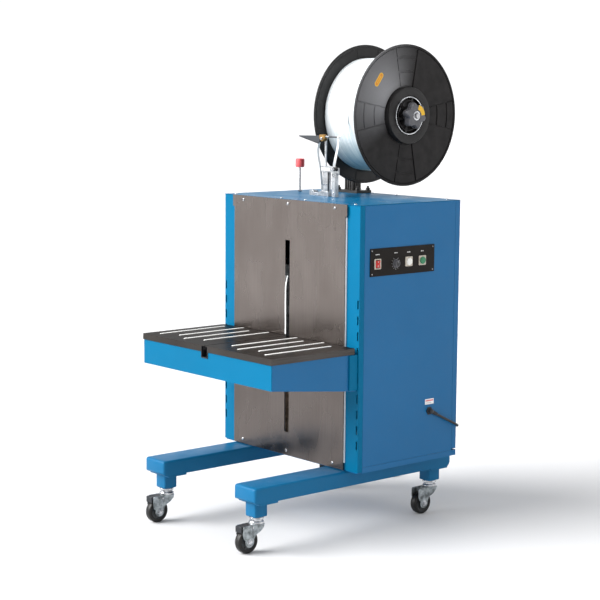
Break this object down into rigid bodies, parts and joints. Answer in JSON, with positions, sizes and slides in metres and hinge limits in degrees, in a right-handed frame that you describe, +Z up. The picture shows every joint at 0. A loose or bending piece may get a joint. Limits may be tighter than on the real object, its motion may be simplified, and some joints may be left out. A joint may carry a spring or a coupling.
{
  "type": "semi automatic strapping machine",
  "caption": "Side sealing strapping machine: steel cabinet on casters with a slotted front plate, a hook-on loading table and an overhead strap reel.",
  "frame": {"origin": "on the floor, under the middle of the machine's outline without its power cord", "axes": "+Z up, +Y towards the rear of the machine, +X towards the side with the control panel"},
  "size_m": [0.698, 1.0986, 1.572],
  "materials": {
    "blue_paint": "gloss",
    "stainless": "brushed",
    "polished_steel": "polished",
    "zinc": "satin",
    "screw_steel": "polished",
    "black_panel": "satin",
    "bezel_plastic": "satin",
    "red_plastic": "gloss",
    "dial_plastic": "matte",
    "white_plastic": "gloss",
    "green_plastic": "gloss",
    "cable_rubber": "matte",
    "caster_zinc": "satin",
    "wheel_rubber": "satin",
    "lever_steel": "satin",
    "strip_plastic": "satin",
    "channel_plastic": "satin",
    "reel_plastic": "satin",
    "stand_paint": "satin",
    "strap_plastic": "satin",
    "knob_grey": "satin",
    "arm_paint": "satin",
    "brass": "satin",
    "machined_steel": "machined",
    "motor_paint": "satin",
    "roller_rubber": "matte",
    "board_green": "satin"
  },
  "bodies": {
    "cabinet": {"leg_left": "blue_paint", "leg_right": "blue_paint", "caster_posts": "blue_paint", "base_plate": "blue_paint", "post_left": "blue_paint", "post_right": "blue_paint", "front_plate": "stainless", "top_cover": "blue_paint", "side_cover_left": "blue_paint", "side_cover_right": "blue_paint", "rear_cover": "blue_paint", "cover_screws": "screw_steel", "control_panel": "black_panel", "control_bezels": "bezel_plastic", "cable_gland": "cable_rubber", "power_cord": "cable_rubber", "cord_coil": "cable_rubber", "cord_plug": "cable_rubber", "cord_clips": "channel_plastic", "reel_stand": "stand_paint", "reel_axle": "machined_steel", "strap_bracket": "zinc", "guide_strap": "strap_plastic", "strap_tail": "strap_plastic", "head_frame": "zinc", "gear_motor": "motor_paint", "control_board": "board_green"},
    "table": {"table_apron": "blue_paint", "table_side_left": "blue_paint", "table_side_right": "blue_paint", "table_rear_rail": "blue_paint", "table_plates": "polished_steel", "glide_strips": "strip_plastic", "strap_channel": "channel_plastic"},
    "reel": {"reel_flange_near": "reel_plastic", "reel_flange_far": "reel_plastic", "reel_core": "reel_plastic", "strap_coil": "strap_plastic", "reel_knob": "knob_grey"},
    "guide_arm": {"guide_arm": "arm_paint", "arm_hub": "brass"},
    "guide_roller": {"guide_roller": "roller_rubber"},
    "tension_knob": {"tension_knob": "red_plastic"},
    "power_rocker": {"power_rocker": "red_plastic"},
    "feed_dial": {"feed_dial": "dial_plastic"},
    "white_button": {"white_button": "white_plastic"},
    "green_button": {"green_button": "green_plastic"},
    "cam_shaft": {"cam_shaft": "machined_steel"},
    "press_platen": {"press_platen": "machined_steel"},
    "feed_roller": {"feed_roller": "roller_rubber"},
    "caster_front_left": {"caster_fork_front_left": "caster_zinc"},
    "wheel_front_left": {"caster_wheel_front_left": "wheel_rubber"},
    "brake_lever_left": {"brake_lever_left": "lever_steel"},
    "caster_front_right": {"caster_fork_front_right": "caster_zinc"},
    "wheel_front_right": {"caster_wheel_front_right": "wheel_rubber"},
    "brake_lever_right": {"brake_lever_right": "lever_steel"},
    "caster_rear_left": {"caster_fork_rear_left": "caster_zinc"},
    "wheel_rear_left": {"caster_wheel_rear_left": "wheel_rubber"},
    "caster_rear_right": {"caster_fork_rear_right": "caster_zinc"},
    "wheel_rear_right": {"caster_wheel_rear_right": "wheel_rubber"}
  },
  "joints": [
    {"name": "table_lift", "type": "slide", "parent": "cabinet", "child": "table", "axis": [0, 0, 1], "range_m": [0, 0.012]},
    {"name": "reel_spin", "type": "hinge", "parent": "cabinet", "child": "reel", "pos_m": [0, 0.296, 1.335], "axis": [1, 0, 0], "continuous": true},
    {"name": "guide_arm_swing", "type": "hinge", "parent": "cabinet", "child": "guide_arm", "pos_m": [-0.046, 0.062, 1.258], "axis": [0, 1, 0], "range_deg": [-8, 0], "stiffness_Nm_per_rad": 0.6},
    {"name": "guide_roller_spin", "type": "hinge", "parent": "cabinet", "child": "guide_roller", "pos_m": [0.015, 0.054, 1.158], "axis": [0, 1, 0], "continuous": true},
    {"name": "tension_turn", "type": "hinge", "parent": "cabinet", "child": "tension_knob", "pos_m": [-0.275, 0.151, 1.1], "axis": [0, 0, 1], "range_deg": [0, 270]},
    {"name": "power_rock", "type": "hinge", "parent": "cabinet", "child": "power_rocker", "pos_m": [0.3405, -0.055, 0.878], "axis": [0, 1, 0], "range_deg": [0, 12]},
    {"name": "feed_dial_turn", "type": "hinge", "parent": "cabinet", "child": "feed_dial", "pos_m": [0.345, 0.025, 0.875], "axis": [1, 0, 0], "range_deg": [-150, 150]},
    {"name": "white_button_press", "type": "slide", "parent": "cabinet", "child": "white_button", "axis": [-1, 0, 0], "range_m": [0, 0.003], "stiffness_N_per_m": 800},
    {"name": "green_button_press", "type": "slide", "parent": "cabinet", "child": "green_button", "axis": [-1, 0, 0], "range_m": [0, 0.003], "stiffness_N_per_m": 800},
    {"name": "cam_shaft_turn", "type": "hinge", "parent": "cabinet", "child": "cam_shaft", "pos_m": [0, -0.066, 0.7], "axis": [1, 0, 0], "continuous": true},
    {"name": "platen_press", "type": "slide", "parent": "cabinet", "child": "press_platen", "axis": [0, -1, 0], "range_m": [0, 0.004], "stiffness_N_per_m": 1500},
    {"name": "feed_roller_spin", "type": "hinge", "parent": "cabinet", "child": "feed_roller", "pos_m": [0, -0.088, 0.78], "axis": [1, 0, 0], "continuous": true},
    {"name": "swivel_front_left", "type": "hinge", "parent": "cabinet", "child": "caster_front_left", "pos_m": [-0.236, -0.455, 0.1], "axis": [0, 0, 1], "continuous": true},
    {"name": "roll_front_left", "type": "hinge", "parent": "caster_front_left", "child": "wheel_front_left", "pos_m": [-0.236, -0.495, 0.038], "axis": [1, 0, 0], "continuous": true},
    {"name": "brake_left", "type": "hinge", "parent": "caster_front_left", "child": "brake_lever_left", "pos_m": [-0.236, -0.483, 0.082], "axis": [1, 0, 0], "range_deg": [0, 6]},
    {"name": "swivel_front_right", "type": "hinge", "parent": "cabinet", "child": "caster_front_right", "pos_m": [0.236, -0.455, 0.1], "axis": [0, 0, 1], "continuous": true},
    {"name": "roll_front_right", "type": "hinge", "parent": "caster_front_right", "child": "wheel_front_right", "pos_m": [0.236, -0.495, 0.038], "axis": [1, 0, 0], "continuous": true},
    {"name": "brake_right", "type": "hinge", "parent": "caster_front_right", "child": "brake_lever_right", "pos_m": [0.236, -0.483, 0.082], "axis": [1, 0, 0], "range_deg": [0, 6]},
    {"name": "swivel_rear_left", "type": "hinge", "parent": "cabinet", "child": "caster_rear_left", "pos_m": [-0.236, 0.3, 0.1], "axis": [0, 0, 1], "continuous": true},
    {"name": "roll_rear_left", "type": "hinge", "parent": "caster_rear_left", "child": "wheel_rear_left", "pos_m": [-0.236, 0.26, 0.038], "axis": [1, 0, 0], "continuous": true},
    {"name": "swivel_rear_right", "type": "hinge", "parent": "cabinet", "child": "caster_rear_right", "pos_m": [0.236, 0.3, 0.1], "axis": [0, 0, 1], "continuous": true},
    {"name": "roll_rear_right", "type": "hinge", "parent": "caster_rear_right", "child": "wheel_rear_right", "pos_m": [0.236, 0.26, 0.038], "axis": [1, 0, 0], "continuous": true}
  ]
}
